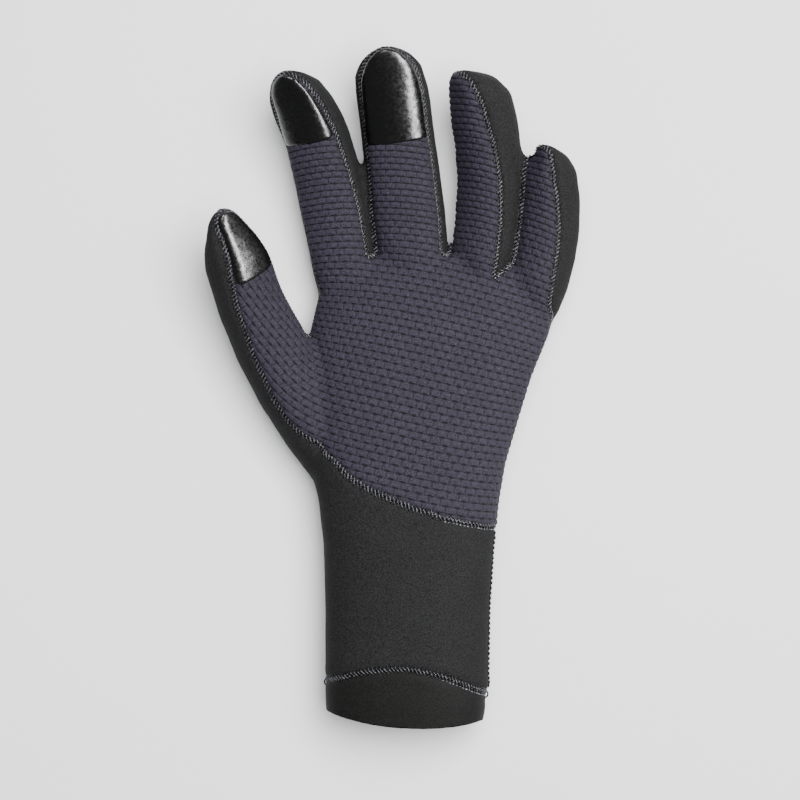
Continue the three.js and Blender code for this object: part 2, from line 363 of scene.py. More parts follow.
def wholeSurface():
    # The surface with columns for its normals and for the fields that it is cut along
    points, faces = meltedPanels()
    toPalm = distancesTo(["palm_panel"], points)
    toBack = distancesTo(["back_panel"], points)
    toBand = distancesTo(["cuff_band"], points)
    palmField = averaged(np.minimum(toBack, toBand) - toPalm, faces, 2)
    eased = averaged(palmField, faces, rootEase["passes"])
    atRoot = rise(points[:, 0], rootEase["across"])
    atRoot *= np.clip(1 - abs(points[:, 1] - rootEase["middle"]) / rootEase["reach"], 0, 0.5) * 2
    palmField += (eased - palmField) * atRoot
    for at, reach, shift in seamShifts.values():
        palmField -= 2 * shift * mm * nearPlace(points, at, reach)
    bandField = averaged(toBack - toBand, faces, 2)
    hemX, hemY = hemLine()
    hemField = points[:, 1] - np.interp(points[:, 0], hemX, hemY)
    hemField -= hemLift[2] * mm * nearPlace(points, *hemLift[:2])
    for at, reach, push in outlinePushes.values():
        points[:, :2] += nearPlace(points, at, reach)[:, None] * push * np.array(mm)
    outward = averaged(vertexNormals(points, faces), faces, 3)
    for at, reach, depth in gapEasings.values():
        points -= outward * (nearPlace(points, at, reach) * depth * mm)[:, None]
    normals = averaged(vertexNormals(points, faces), faces, 3)
    return np.column_stack([points, normals, palmField, bandField, hemField]), faces


def cutSurface():
    points, faces = wholeSurface()
    points, faces, _, above = splitAlong(points, faces, columns["hem"])
    points, faces, _ = onlyUsed(points, faces[above])
    points, faces, _, palm = splitAlong(points, faces, columns["palm"])
    points, faces, origin, band = splitAlong(points, faces, columns["band"])
    onBand = np.where(band, panelIds["band"], panelIds["back"])
    label = np.where(palm[origin], panelIds["palm"], onBand)
    for mine, other in (("palm", "back"), ("back", "palm")):  # specks go to the panel around them
        chosen = np.flatnonzero(label == panelIds[mine])
        ids = islands(faces[chosen], len(points))[faces[chosen, 0]]
        label[chosen[ids != np.bincount(ids).argmax()]] = panelIds[other]
    return points, faces, label


def seamSides(faces, label, one, other):
    # The sides between two panels, in the direction the first one runs them
    mine = rimSides(faces[label == panelIds[one]])
    theirs = {(int(a), int(b)) for a, b in rimSides(faces[label == panelIds[other]])}
    return np.array([s for s in mine.tolist() if (s[1], s[0]) in theirs])


def easedLoop(points, loop, passes=10):
    # Smooths a seam along its length in place
    for step in range(passes * 2):
        part = points[loop, :3]
        around = (np.roll(part, 1, 0) + np.roll(part, -1, 0)) / 2
        weight = skin["seamPair"][step % 2]
        points[loop, :3] = part + weight * (around - part)


points, faces, label = cutSurface()
palmLoop = loopsOf(seamSides(faces, label, "palm", "back"))[0]
bandLoop = loopsOf(seamSides(faces, label, "band", "back"))[0]
easedLoop(points, palmLoop)
easedLoop(points, bandLoop)
print("Surface cut", len(points), "points,", len(palmLoop), "and", len(bandLoop), "on the seams")

# The thread draws the foam down into a groove, and it swells beside it
palmSeam = points[palmLoop, :3]
_, toSeam = nearestIn(np.concatenate([palmSeam, points[bandLoop, :3]]), points)
dip = skin["seamDip"] * np.exp(-((toSeam / skin["seamDipReach"]) ** 2))
puff = skin["puff"] * np.exp(-(((toSeam - skin["puffAt"]) / skin["puffReach"]) ** 2))
points[:, :3] += points[:, columns["normal"]] * (puff - dip)[:, None]


# The knit face of the palm: rows of low bricks with a dark dash between them
knit = {
    "cell": 4.55 * mm,  # brick, from one dash to the next in a row
    "row": 3.05 * mm,
    "fingerPack": 0.15,  # how much closer the rows lie on the fingers
    "dashPalm": 1.25 * mm,  # half length of a dash
    "dashFinger": 1.9 * mm,
    "dashHeight": 0.35 * mm,
    "dashDepth": 0.4 * mm,
    "dashEdge": 1.45,  # how far out a dash fades, in its own half lengths
    "jointWidth": 0.45 * mm,  # between two bricks of a row
    "jointDepth": 0.7,  # share of the crown
    "crown": 0.3 * mm,
    "grain": 0.86 * mm,  # longest side of a face of the relief
    "fadeToSeam": 1.6 * mm,
    "palmDip": math.radians(15),  # rows drop to the right
    "heelEase": 0.6,  # but less at the heel of the hand
    "fingerDip": math.radians(3),  # on the middle finger
    "fingerFan": math.radians(0.3) / mm,  # and more from finger to finger
    "webAt": (-32 * mm, 28 * mm),  # between thumb and index, where the rows turn
    "webTurn": math.radians(45),
    "webSector": (300, 75),  # degrees round the web, towards the thumb
    "webStart": 100,
    "thumbEdge": (-44 * mm, 6 * mm),  # where the thumb starts, and over how far
    "thumbTop": 80 * mm,
    "fingerEdge": (50 * mm, 22 * mm),
    "heelAcross": (5 * mm, 36 * mm),
    "heelAlong": (10 * mm, 40 * mm),
    "fanEdge": (8 * mm, 42 * mm),
    "gapShare": 0.86,  # how far the gaps darken, and the lines and joints among them
    "lineShare": 0.6,
    "lineMore": 0.18,  # on the fingers
    "jointShare": 0.5,
    "low": "#15131a",  # the yarn's colours, and the gaps between the bricks
    "high": "#3e3a47",
    "dark": "#050506",
}


def onThumb(points):
    return fall(points[:, 0], knit["thumbEdge"]) * (points[:, 1] < knit["thumbTop"])


def onFinger(points):
    # 0 on the palm and thumb, 1 on the fingers, where the dashes run together
    return rise(points[:, 1], knit["fingerEdge"]) * (1 - onThumb(points))


def rowAngle(points):
    # How far a row dips to the right, seen from the palm side
    x, y = points[:, 0], points[:, 1]
    heel = rise(x, knit["heelAcross"]) * fall(y, knit["heelAlong"])
    palm = knit["palmDip"] * (1 - knit["heelEase"] * heel)
    finger = knit["fingerDip"] + knit["fingerFan"] * x
    upward = rise(y, knit["fanEdge"]) * (1 - onThumb(points))
    around = np.degrees(np.arctan2(y - knit["webAt"][1], x - knit["webAt"][0])) % 360
    towardThumb = fall(around, knit["webSector"]) * (around > knit["webStart"])
    towardThumb = towardThumb * towardThumb * (3 - 2 * towardThumb)
    return palm + (finger - palm) * upward + knit["webTurn"] * towardThumb


def patternPlaces(points, faces):
    # Finds the two pattern lengths whose slopes best follow the rows, by least squares
    corners = points[faces, :3]
    normal = faceNormals(points, faces)
    twice = np.linalg.norm(normal, axis=1)
    normal /= np.maximum(twice, 1e-15)[:, None]
    angle = rowAngle(corners.mean(1))
    upward = np.column_stack([np.sin(angle), np.cos(angle), np.zeros(len(angle))])
    upward = unit(upward - (upward * normal).sum(1)[:, None] * normal)
    sideways = np.cross(upward, normal)
    upward *= 1 + knit["fingerPack"] * onFinger(corners.mean(1))[:, None]
    slopes = [np.cross(normal, corners[:, (i + 2) % 3] - corners[:, (i + 1) % 3]) for i in range(3)]
    slopes = [s / np.maximum(twice, 1e-15)[:, None] for s in slopes]
    area = twice / 2
    count = len(points)
    pairs = [(i, j, area * (slopes[i] * slopes[j]).sum(1)) for i in range(3) for j in range(3)]
    diagonal = sum(np.bincount(faces[:, i], w, count) for i, j, w in pairs if i == j)

    def spread(values):
        return sum(np.bincount(faces[:, i], w * values[faces[:, j]], count) for i, j, w in pairs)

    results = []
    for wanted, start in ((sideways, points[:, 0]), (upward, points[:, 1])):
        goal = sum(
            np.bincount(faces[:, i], area * (slopes[i] * wanted).sum(1), count) for i in range(3)
        )
        values = start.copy()
        rest = goal - spread(values)
        step = rest / diagonal
        push = (rest * step).sum()
        for _ in range(900):  # conjugate gradients
            moved = spread(step)
            share = push / (step * moved).sum()
            values += share * step
            rest -= share * moved
            scaled = rest / diagonal
            newPush = (rest * scaled).sum()
            step = scaled + newPush / push * step
            push = newPush
            if push < 1e-16:
                break
        results.append(values)
    return np.column_stack(results)


palmPoints, palmFaces, _ = onlyUsed(points, faces[label == panelIds["palm"]])
places = patternPlaces(palmPoints, palmFaces)
print("Knit laid out", places.min(0), places.max(0))


def brickRelief(places, dashLength):
    # Height of the knit at each point, in metres, from its place in the pattern
    row = places[:, 1] / knit["row"]
    column = places[:, 0] / knit["cell"]
    line = np.round(row)
    across = (row - line) * knit["row"]
    turn = column - 0.5 * (line % 2) - 0.5
    along = (turn - np.round(turn)) * knit["cell"]
    reach = np.sqrt((along / dashLength) ** 4 + (across / knit["dashHeight"]) ** 2)
    dash = np.clip(knit["dashEdge"] - reach, 0, 1)
    dash = dash * dash * (3 - 2 * dash)
    joint = column - 0.5 * (np.floor(row) % 2)
    joint = (joint - np.round(joint)) * knit["cell"]
    joint = np.exp(-((joint / knit["jointWidth"]) ** 2))
    crown = np.sin(math.pi * (row - np.floor(row))) ** 0.7  # rounded, with steep flanks
    return knit["crown"] * crown * (1 - knit["jointDepth"] * joint) - knit["dashDepth"] * dash


def thinnedSheet(points, faces, ratio):
    # Thins a sheet out but leaves its rim as it is
    draft = newObject("draft", meshFrom("draft", points, faces))
    rim = set(rimSides(faces).ravel().tolist())
    group = draft.vertex_groups.new(name="inside")
    group.add([i for i in range(len(points)) if i not in rim], 1.0, "REPLACE")
    thinned = {"ratio": ratio, "vertex_group": "inside", "use_collapse_triangulate": True}
    return shapedBy(draft, "DECIMATE", 3, **thinned)


def closedSheet(outer, outerFaces, inner, innerFaces):
    # Joins an outer and an inner sheet along their rims, which have the same points in order
    outerRim = loopsOf(rimSides(outerFaces))
    innerRim = loopsOf(rimSides(innerFaces))
    innerFaces = innerFaces[:, ::-1] + len(outer)
    parts = [outerFaces, innerFaces]
    for mine, theirs in zip(outerRim, innerRim):
        start = np.argmin(np.linalg.norm(inner[theirs, :3] - outer[mine[0], :3], axis=1))
        theirs = np.roll(theirs, -start) + len(outer)
        nextMine, nextTheirs = np.roll(mine, -1), np.roll(theirs, -1)
        parts.append(np.column_stack([nextMine, mine, theirs]))
        parts.append(np.column_stack([nextMine, theirs, nextTheirs]))
    return np.concatenate([outer[:, :3], inner[:, :3]]), np.concatenate(parts)


def panelPiece(name, outer, outerFaces, inner, innerFaces):
    allPoints, allFaces = closedSheet(outer, outerFaces, inner, innerFaces)
    obj = newObject(name, meshFrom(name, allPoints, allFaces))
    obj.data.polygons.foreach_set("use_smooth", np.ones(len(allFaces), bool))
    return obj


def foamPiece(name, outer, outerFaces, sheet, sheetFaces, thinning):
    # A panel as thick as the foam, its inner face thinned out
    inner = sheet[:, :3] - averaged(sheet[:, columns["normal"]], sheetFaces, 6) * skin["wall"]
    return panelPiece(name, outer, outerFaces, *thinnedSheet(inner, sheetFaces, thinning))


def longSidesSplit(points, faces, longest):
    rim = {tuple(sorted(p)) for p in rimSides(faces).tolist()}
    sides = sidesOf(faces)
    length = np.linalg.norm(points[sides[:, 0], :3] - points[sides[:, 1], :3], axis=1)
    onRim = np.array([tuple(p) in rim for p in sides.tolist()])
    return splitFaces(points, faces, (length > longest) & ~onRim, halfway)[:2]


palmSheet = np.column_stack([palmPoints, places])
fineSheet, fineFaces = longSidesSplit(palmSheet, palmFaces, knit["grain"])
dashLength = knit["dashPalm"] + (knit["dashFinger"] - knit["dashPalm"]) * onFinger(fineSheet)
relief = brickRelief(fineSheet[:, -2:], dashLength)
fade = np.clip(nearestIn(palmSeam, fineSheet)[1] / knit["fadeToSeam"], 0.0, 1.0)
outer = fineSheet[:, :3] + fineSheet[:, columns["normal"]] * (relief * fade)[:, None]
palmPiece = foamPiece("palm_knit_panel", outer, fineFaces, palmPoints, palmFaces, 0.25)
uvLayer = palmPiece.data.uv_layers.new(name="knit")
cornerIndex = np.empty(len(palmPiece.data.loops), np.int32)
palmPiece.data.loops.foreach_get("vertex_index", cornerIndex)
uvs = np.zeros((len(palmPiece.data.vertices), 2))
uvs[: len(outer)] = fineSheet[:, -2:] / [knit["cell"], knit["row"]]
uvLayer.data.foreach_set("uv", uvs[cornerIndex].astype(np.float32).ravel())
stretch = palmPiece.data.attributes.new("stretch", "FLOAT", "POINT")
stretched = np.zeros(len(palmPiece.data.vertices), np.float32)
stretched[: len(outer)] = onFinger(fineSheet)
stretch.data.foreach_set("value", stretched)
print("Palm panel", len(palmPiece.data.polygons))

backSheet = onlyUsed(points, faces[label == panelIds["back"]])[:2]
backPiece = foamPiece("back_jersey_panel", *backSheet, *backSheet, 0.25)
bandSheet = onlyUsed(points, faces[label == panelIds["band"]])[:2]
bandPiece = foamPiece("cuff_band_strip", *bandSheet, *bandSheet, 0.6)
print("Back and band", len(backPiece.data.polygons), len(bandPiece.data.polygons))


# Glossy rubber films over three fingertips
film = {
    "height": 0.62 * mm,  # top of the film over the foam
    "depth": 0.3 * mm,  # how far it reaches down into the knit
    "reach": 0.8 * mm,  # how near the frame's patch the film's edge lies
    "edgeHeight": 0.25 * mm,  # of its thin poured edge
    "edgeReach": 0.5 * mm,
    "crinkle": 0.03 * mm,
    "crinkleLength": 4.4 * mm,
    "low": "#020202",
    "high": "#050505",
}


def filmPiece(name, node):
    near = distancesTo([node], palmPoints)
    sheet = np.column_stack([palmPoints[:, :6], averaged(film["reach"] - near, palmFaces, 2)])
    sheet, sheetFaces, _, above = splitAlong(sheet, palmFaces, 6)  # the column just added
    sheet, sheetFaces, _ = onlyUsed(sheet, sheetFaces[above])
    ids = islands(sheetFaces, len(sheet))[sheetFaces[:, 0]]
    sheet, sheetFaces, _ = onlyUsed(sheet, sheetFaces[ids == np.bincount(ids).argmax()])
    easedLoop(sheet, loopsOf(rimSides(sheetFaces))[0], 6)
    sheet, sheetFaces = refined(sheet, sheetFaces)
    rim = sheet[np.unique(rimSides(sheetFaces))]
    toRim = nearestIn(rim, sheet)[1]
    edge = 1 - np.exp(-((toRim / film["edgeReach"]) ** 2))
    x, y = (sheet[:, :2] / film["crinkleLength"] * 2 * math.pi).T
    # Waves of uneven lengths, so that no fold comes twice
    fold = np.sin(y + 0.8 * np.sin(x * 0.7 + 1.3)) * np.sin(x * 0.53 + 0.9 * np.sin(y * 0.61))
    height = film["edgeHeight"] + (film["height"] - film["edgeHeight"]) * edge
    height += film["crinkle"] * fold * edge
    top = sheet[:, :3] + sheet[:, columns["normal"]] * height[:, None]
    under = sheet[:, :3] - sheet[:, columns["normal"]] * film["depth"]
    return panelPiece(name, top, sheetFaces, under, sheetFaces)


tips = ("thumb_tip", "index_tip", "middle_tip")
filmPieces = [filmPiece(f"{tip}_film", f"{tip}_patch") for tip in tips]
print("Films", [len(piece.data.polygons) for piece in filmPieces])

# Overlocked seams: slanting strands over a bound edge, with a row of needle stitches on each side
overlock = {
    "pitch": 1.7 * mm,
    "width": 1.05 * mm,  # half of a strand's reach across the seam
    "heelAt": [-40 * mm, 0, 20 * mm, 45 * mm],  # along the palm's lower edge
    "heelWidth": [1.2 * mm, 1.4 * mm, 1.05 * mm, 0.7 * mm],
    "heelBelow": (-22 * mm, 8 * mm),  # where the lower edge starts
    "heelFront": (12 * mm, 6 * mm),
    "slant": 0.85 * mm,
    "thread": 0.35 * mm,  # thicker than the real thread, so that it reads at this distance
    "rise": 0.5 * mm,  # above the bottom of the groove
    "arch": 0.38 * mm,
    "core": 0.72 * mm,  # the bound edge under the strands
    "coreSink": 0.1 * mm,
    "step": 0.25 * mm,  # grain of the line that the strands follow
    "coreStep": 1.0 * mm,
}
bandSeamStyle = dict(
    overlock, pitch=1.6 * mm, width=1.0 * mm, thread=0.3 * mm, slant=0.8 * mm, core=0.62 * mm
)
needle = {
    "length": 0.85 * mm,
    "thread": 0.22 * mm,
    "beside": 0.5 * mm,  # past the strands' ends
    "lift": 0.05 * mm,
    "paintedGlintFrom": 20 * mm,  # towards the little finger, the lower row is drawn in a pale copy of the black needle thread: painted highlight
    "paintedGlintBelow": -20 * mm,  # at the wrist only
    "paintedGlintFront": 12 * mm,  # and on the palm side
}
sideSeam = {
    "from": -60 * mm,  # down the little finger's side of the wrist, from the palm to the band
    "to": -127 * mm,
    "faces": (0.98, 0.2),  # the way it faces, across and up
    "pitch": 2.1 * mm,
    "length": 1.25 * mm,
    "thread": 0.5 * mm,
    "lift": 0.2 * mm,
}
tails = {
    "radius": 1.5 * mm,  # a cut thread end curls out where a seam starts or stops
    "turn": math.radians(215),
    "thread": 0.36 * mm,
    "at": {"palm": [(44, -55)], "band": [(-29, -122), (40, -128)]},  # mm, on these seams
}


def evenPath(path, step, closed=True):
    # Points at even spacing along a path, with the directions along and out of the surface
    if closed:
        path = np.concatenate([path, path[:1]])
    length = np.concatenate([[0], np.cumsum(np.linalg.norm(np.diff(path[:, :3], axis=0), axis=1))])
    count = int(round(length[-1] / step))
    at = np.linspace(0, length[-1], count + (0 if closed else 1), endpoint=not closed)
    return np.column_stack([np.interp(at, length, column) for column in path.T]), length[-1]


def evened(values, passes, closed=True):
    for _ in range(passes):
        if closed:
            values = (np.roll(values, 1, 0) + 2 * values + np.roll(values, -1, 0)) / 4
        else:
            values[1:-1] = (values[:-2] + 2 * values[1:-1] + values[2:]) / 4
    return values


def tubeAlong(centre, radius, sides):
    # A closed tube of rings round a loop of points
    ahead = unit(np.roll(centre, -1, 0) - np.roll(centre, 1, 0))
    normals = np.empty_like(ahead)
    side = unit(np.cross(ahead[0], [0.123, 0.456, 0.881]))  # any direction off the loop's own
    for i, direction in enumerate(ahead):
        side = side - direction * (side @ direction)
        side = side / max(np.linalg.norm(side), 1e-12)
        normals[i] = side
    other = np.cross(ahead, normals)
    turn = np.linspace(0, 2 * math.pi, sides, endpoint=False)[None, :, None]
    rings = centre[:, None] + radius * (np.cos(turn) * normals[:, None] + np.sin(turn) * other[:, None])
    count = len(centre)
    i = np.arange(count)[:, None]
    j, k = np.arange(sides)[None], (np.arange(sides)[None] + 1) % sides
    here, following = i * sides, (i + 1) % count * sides
    quads = np.stack([here + j, here + k, following + k, following + j], -1).reshape(-1, 4)
    return rings.reshape(-1, 3), quads.tolist()


def joinedPiece(name, parts):
    allPoints, allFaces, offset = [], [], 0
    for partPoints, partFaces in parts:
        allPoints.append(partPoints)
        allFaces += [[corner + offset for corner in face] for face in partFaces]
        offset += len(partPoints)
    mesh = bpy.data.meshes.new(name)
    mesh.from_pydata(np.concatenate(allPoints).tolist(), [], allFaces)
    mesh.polygons.foreach_set("use_smooth", np.ones(len(allFaces), bool))
    return newObject(name, mesh)


def seamFrame(loop, step):
    # Even points along a seam, with the directions out of the cloth and across the seam
    normals = unit(points[loop, columns["normal"]])
    even, length = evenPath(np.column_stack([points[loop, :3], normals]), step)
    centre = evened(even[:, :3], 6)
    out = unit(evened(even[:, columns["normal"]], 40))
    ahead = unit(np.roll(centre, -1, 0) - np.roll(centre, 1, 0))
    out = unit(out - ahead * (out * ahead).sum(1)[:, None])
    return centre, out, np.cross(ahead, out), length


def along(values, at):
    # Values between the samples of a closed path
    low = np.floor(at).astype(int)
    share = (at - low)[..., None]
    return values[low % len(values)] * (1 - share) + values[(low + 1) % len(values)] * share


def tubesAlong(curves, up, radius, sides=5):
    # Many short tubes at once, capped at both ends
    count, rings = curves.shape[:2]
    ahead = unit(np.gradient(curves, axis=1))
    side = unit(np.cross(ahead, up))
    other = np.cross(ahead, side)
    turn = np.linspace(0, 2 * math.pi, sides, endpoint=False)[None, None, :, None]
    spokes = np.cos(turn) * side[:, :, None] + np.sin(turn) * other[:, :, None]
    tubes = curves[:, :, None] + radius * spokes
    i = np.arange(rings - 1)[:, None] * sides
    j, k = np.arange(sides)[None], (np.arange(sides)[None] + 1) % sides
    quads = np.stack([i + j, i + k, i + sides + k, i + sides + j], -1).reshape(-1, 4)
    first = np.arange(count)[:, None, None] * rings * sides
    caps = np.stack([np.arange(sides)[::-1], (rings - 1) * sides + np.arange(sides)])
    allFaces = (first + quads).reshape(-1, 4).tolist() + (first + caps).reshape(-1, sides).tolist()
    return tubes.reshape(-1, 3), allFaces


def strandsAcross(seam, style, width):
    # Strands that cross the seam on a slant, each end sunk in the cloth
    centre, out, across, length = seam
    count = round(length / style["pitch"])
    samples = len(centre) / length
    at = np.arange(count)[:, None] * len(centre) / count
    t = np.linspace(-1, 1, 7)[None]
    place = at + style["slant"] * samples * t
    reach = along(width[:, None], at)[..., 0] * t
    height = style["rise"] + style["arch"] * (1 - t * t)
    up = along(out, place)
    curves = along(centre, place) + along(across, place) * reach[..., None] + up * height[..., None]
    return tubesAlong(curves, up, style["thread"])


surfaceTree = BVHTree.FromPolygons(points[:, :3].tolist(), faces.tolist())


def laidOn(curves, lift):
    # Drops a set of curves onto the outer surface
    flat = curves.reshape(-1, 3)
    found = [surfaceTree.find_nearest(p) for p in flat.tolist()]
    place = np.array([f[0] for f in found])
    up = np.array([f[1] for f in found])
    return (place + up * lift).reshape(curves.shape), up.reshape(curves.shape)


def needleRow(seam, style, width, side, chosen):
    # Short stitches along one side of a seam, where they are chosen
    centre, out, across, length = seam
    count = round(length / style["pitch"])
    at = (np.arange(count)[:, None] + 0.5) * len(centre) / count
    at = at[chosen(along(centre, at[:, 0]))]
    t = np.linspace(-0.5, 0.5, 4)[None]
    place = at + needle["length"] * len(centre) / length * t
    reach = side * (along(width[:, None], at) + needle["beside"])
    curves = along(centre, place) + along(across, place) * reach + along(out, place) * 0.6 * mm
    return tubesAlong(*laidOn(curves, needle["lift"]), needle["thread"])


# Where the lower needle row gets the pale thread: painted highlight on its black stitches
def paintedGlint(places):
    x, y, z = places.T
    return (x > needle["paintedGlintFrom"]) & (y < needle["paintedGlintBelow"]) & (z > needle["paintedGlintFront"])


def notPaintedGlint(places):
    return ~paintedGlint(places)


def everywhere(places):
    return np.ones(len(places), bool)


def boundEdge(name, loop, style):
    # The dark raw edge that the strands bind
    centre, out, _, _ = seamFrame(loop, style["coreStep"])
    return joinedPiece(name, [tubeAlong(centre - out * style["coreSink"], style["core"], 8)])


palmFrame = seamFrame(palmLoop, overlock["step"])
seamX, seamY, seamZ = palmFrame[0].T
atHeel = fall(seamY, overlock["heelBelow"]) * rise(seamZ, overlock["heelFront"])
heelWidth = np.interp(seamX, overlock["heelAt"], overlock["heelWidth"])
palmWidth = overlock["width"] + (heelWidth - overlock["width"]) * atHeel
overlockPiece = joinedPiece("overlock_strands", [strandsAcross(palmFrame, overlock, palmWidth)])
corePiece = boundEdge("overlock_core", palmLoop, overlock)

bandFrame = seamFrame(bandLoop, bandSeamStyle["step"])
bandWidth = np.full(len(bandFrame[0]), bandSeamStyle["width"])
bandStrandPiece = joinedPiece("band_strands", [strandsAcross(bandFrame, bandSeamStyle, bandWidth)])
bandCorePiece = boundEdge("band_core", bandLoop, bandSeamStyle)


def upwardSide(seam):
    # Which side of a seam lies towards the fingertips, where it crosses the palm side
    centre, _, across, _ = seam
    low = np.argmin(centre[:, 1] - 3 * centre[:, 2])
    return 1 if across[low, 1] > 0 else -1


def needleRows(name, kinds):
    # Rows of stitches along both seams, each on the upward (1) or the lower side (-1)
    seams = ((palmFrame, overlock, palmWidth), (bandFrame, bandSeamStyle, bandWidth))
    rows = [
        needleRow(*seam, side * upwardSide(seam[0]), chosen) for seam in seams for side, chosen in kinds
    ]
    return joinedPiece(name, rows)


needlePiece = needleRows("needle_stitches", ((1, everywhere), (-1, notPaintedGlint)))
# The lower row there, in pale thread as painted highlight
paintedGlintPiece = needleRows("stitches_painted_glint", ((-1, paintedGlint),))


def sideStitches():
    # The wrist's closing seam: thick black stitches on the fold
    facing = points[:, 0] * sideSeam["faces"][0] + points[:, 2] * sideSeam["faces"][1]
    levels = np.arange(sideSeam["from"], sideSeam["to"], -1.5 * mm)  # where the fold is looked up
    picks = []
    for level in levels:
        near = np.flatnonzero(abs(points[:, 1] - level) < 1 * mm)
        picks.append(near[facing[near].argmax()])
    path = evened(points[picks, :3].copy(), 12, False)
    even, _ = evenPath(path, sideSeam["pitch"], False)
    ahead = unit(np.gradient(even, axis=0))
    t = np.linspace(-0.5, 0.5, 4)[None, :, None]
    curves = even[:, None] + ahead[:, None] * sideSeam["length"] * t
    return tubesAlong(*laidOn(curves, sideSeam["lift"]), sideSeam["thread"], 6)


def threadTail(at, loop):
    # A curl of thread that stands off the seam
    spot = points[loop, :3][np.argmin(np.hypot(*(points[loop, :2] - np.array(at) * mm).T))]
    out = np.array([math.copysign(1, at[0]), 0, 0.25])
    t = np.linspace(0, tails["turn"], 10)[:, None]
    curve = spot + tails["radius"] * (out * np.sin(t) - np.array([0, 1, 0]) * (1 - np.cos(t)))
    return tubesAlong(curve[None], np.array([[[0.0, 0.0, 1.0]]]), tails["thread"])


seamLoops = {"palm": palmLoop, "band": bandLoop}
threadTails = [threadTail(at, seamLoops[seam]) for seam, spots in tails["at"].items() for at in spots]
sidePiece = joinedPiece("side_seam_stitches", [sideStitches(), *threadTails])
print("Overlock", len(overlockPiece.data.polygons), len(needlePiece.data.polygons))


# Materials
def linear(code):
    # An sRGB colour code as linear values
    values = [int(code[i : i + 2], 16) / 255 for i in (1, 3, 5)]
    return [v / 12.92 if v <= 0.04045 else ((v + 0.055) / 1.055) ** 2.4 for v in values] + [1.0]


def addNode(tree, kind, links=None, values=None, **settings):
    # Adds a node with its own settings, its sockets' values and its links
    node = tree.nodes.new(kind)
    for key, value in settings.items():
        setattr(node, key, value)
    for place, value in (values or {}).items():
        node.inputs[place].default_value = value
    for place, source in (links or {}).items():
        tree.links.new(source, node.inputs[place])
    return node


def newMaterial(name, shading):
    material = bpy.data.materials.new(name)
    material.use_nodes = True
    tree = material.node_tree
    shader = tree.nodes["Principled BSDF"]
    for key, value in shading.items():
        shader.inputs[key].default_value = value
    return material, tree, shader


def maths(tree, operation, *values):
    node = tree.nodes.new("ShaderNodeMath")
    node.operation = operation
    for i, value in enumerate(values):
        if isinstance(value, (int, float)):
            node.inputs[i].default_value = value
        else:
            tree.links.new(value, node.inputs[i])
    return node.outputs[0]


def blended(tree, share, low, high):
    node = addNode(tree, "ShaderNodeMix", data_type="RGBA")
    tree.links.new(share, node.inputs[0])
    for i, value in ((6, low), (7, high)):
        if isinstance(value, list):
            node.inputs[i].default_value = value
        else:
            tree.links.new(value, node.inputs[i])
    return node.outputs[2]


def noise(tree, place, scale, detail=2.0, roughness=0.5):
    values = {"Scale": scale, "Detail": detail, "Roughness": roughness}
    return addNode(tree, "ShaderNodeTexNoise", {"Vector": place}, values).outputs[0]


def ranged(tree, value, low, high, toLow=0.0, toHigh=1.0, kind="LINEAR"):
    values = {1: low, 2: high, 3: toLow, 4: toHigh}
    return addNode(tree, "ShaderNodeMapRange", {0: value}, values, interpolation_type=kind).outputs[0]


def bumped(tree, shader, height, strength, distance):
    values = {"Strength": strength, "Distance": distance}
    bump = addNode(tree, "ShaderNodeBump", {"Height": height}, values)
    tree.links.new(bump.outputs[0], shader.inputs["Normal"])


def objectPlace(tree):
    return addNode(tree, "ShaderNodeTexCoord").outputs["Object"]


